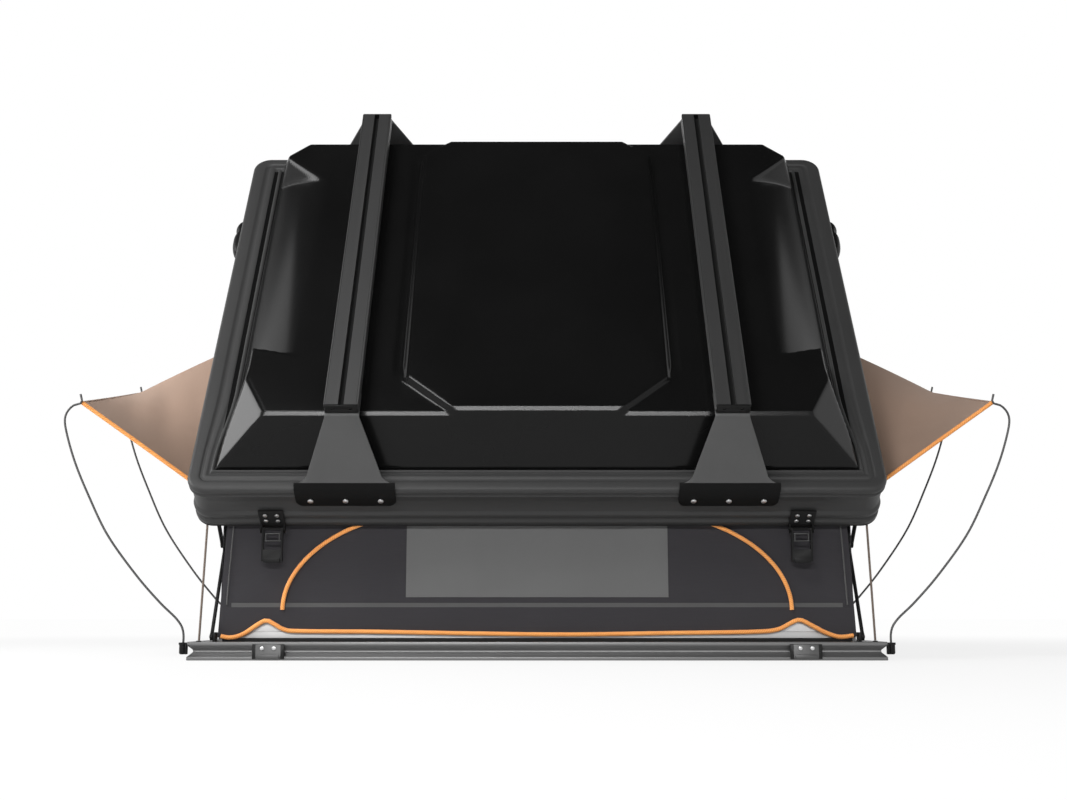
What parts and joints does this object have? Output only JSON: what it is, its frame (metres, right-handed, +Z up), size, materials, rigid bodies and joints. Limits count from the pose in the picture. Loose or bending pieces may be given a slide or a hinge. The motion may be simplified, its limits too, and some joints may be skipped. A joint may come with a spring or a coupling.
{
  "type": "roof top tent",
  "caption": "Side-opening hard-shell roof top tent standing open: gloss lid on folding lift arms, slotted crossbars, canvas walls, side awnings on bowed poles, grooved base frame.",
  "frame": {"origin": "middle of the underside of the base, on the lower face of the floor brace", "axes": "+X along the long side, +Y from the low side to the hinge side, +Z up"},
  "size_m": [2.9756, 1.8273, 1.9149],
  "materials": {
    "anodised": "dark anodised extrusion",
    "bar_metal": "dark anodised extrusion",
    "black_metal": "black powder coat",
    "bright_metal": "stainless",
    "shell_gloss": "gloss moulded shell",
    "frame_plastic": "ribbed dark grey frame",
    "seal_rubber": "black seal",
    "floor_board": "light composite panel",
    "canvas_grey": "charcoal canvas",
    "canvas_taupe": "taupe canvas",
    "piping_orange": "orange piping",
    "mattress_cover": "grey knit cover",
    "cord_elastic": "brown grey elastic",
    "pole_steel": "grey coated spring steel"
  },
  "bodies": {
    "base": {"base_rail_front": "anodised", "base_rail_rear": "anodised", "base_rail_left": "anodised", "base_rail_right": "anodised", "base_upstand": "anodised", "floor_panel": "floor_board", "mount_rail_left": "anodised", "mount_rail_right": "anodised", "floor_brace": "anodised", "mattress": "mattress_cover", "latch_keepers": "black_metal", "keeper_screws": "bright_metal", "arm_feet": "black_metal", "pole_sockets": "black_metal", "base_cord_eyes": "black_metal", "front_wall": "canvas_grey", "front_hem": "piping_orange", "door_piping": "piping_orange", "rear_wall": "canvas_grey", "left_wall": "canvas_grey", "right_wall": "canvas_grey", "corner_cord_left": "cord_elastic", "corner_cord_right": "cord_elastic", "pole_near_left": "pole_steel", "pole_far_left": "pole_steel", "pole_near_right": "pole_steel", "pole_far_right": "pole_steel"},
    "lift_lower": {"lower_arm_left": "black_metal", "lower_arm_right": "black_metal"},
    "lift_upper": {"upper_arm_left": "black_metal", "upper_arm_right": "black_metal"},
    "lid": {"lid_frame": "frame_plastic", "lid_flange": "frame_plastic", "canvas_track": "frame_plastic", "lid_shell": "shell_gloss", "lid_seal": "seal_rubber", "crossbar_left": "bar_metal", "crossbar_right": "bar_metal", "bar_end_caps": "black_metal", "bracket_near_left": "bar_metal", "bracket_near_right": "bar_metal", "bracket_far_left": "bar_metal", "bracket_far_right": "bar_metal", "bracket_screws": "bright_metal", "latch_plates": "black_metal", "latch_screws": "bright_metal", "side_latches": "black_metal", "arm_lid_brackets": "black_metal", "lid_cord_eyes": "black_metal", "awning_left": "canvas_taupe", "awning_right": "canvas_taupe"},
    "lever_left": {"latch_lever_left": "black_metal"},
    "bail_left": {"latch_bail_left": "bright_metal"},
    "lever_right": {"latch_lever_right": "black_metal"},
    "bail_right": {"latch_bail_right": "bright_metal"}
  },
  "joints": [
    {"name": "lid_tilt", "type": "hinge", "parent": "lift_upper", "child": "lid", "pos_m": [0, -0.80503, 0.53761], "axis": [1, 0, 0], "range_deg": [-92.82, 0], "deforming": ["front_wall", "front_hem", "door_piping", "rear_wall", "left_wall", "right_wall", "corner_cord_left", "corner_cord_right", "awning_left", "awning_right", "pole_near_left", "pole_far_left", "pole_near_right", "pole_far_right"]},
    {"name": "lower_swing", "type": "hinge", "parent": "base", "child": "lift_lower", "pos_m": [0, -0.772, 0.07], "axis": [1, 0, 0], "range_deg": [-48.93, 0]},
    {"name": "elbow_fold", "type": "hinge", "parent": "lift_lower", "child": "lift_upper", "pos_m": [0, -0.618, 0.357], "axis": [1, 0, 0], "range_deg": [0, 86.15]},
    {"name": "lever_turn_left", "type": "hinge", "parent": "lid", "child": "lever_left", "pos_m": [-0.805, -0.7789, 0.39323], "axis": [1, 0, 0], "range_deg": [-95, 10]},
    {"name": "bail_turn_left", "type": "hinge", "parent": "lever_left", "child": "bail_left", "pos_m": [-0.805, -0.7789, 0.35723], "axis": [1, 0, 0], "range_deg": [0, 140]},
    {"name": "lever_turn_right", "type": "hinge", "parent": "lid", "child": "lever_right", "pos_m": [0.805, -0.7789, 0.39323], "axis": [1, 0, 0], "range_deg": [-95, 10]},
    {"name": "bail_turn_right", "type": "hinge", "parent": "lever_right", "child": "bail_right", "pos_m": [0.805, -0.7789, 0.35723], "axis": [1, 0, 0], "range_deg": [0, 140]}
  ],
  "couplings": [
    {"joint": "lower_swing", "follows": "lid_tilt", "ratio": 0.52719},
    {"joint": "elbow_fold", "follows": "lid_tilt", "ratio": -0.92818}
  ]
}
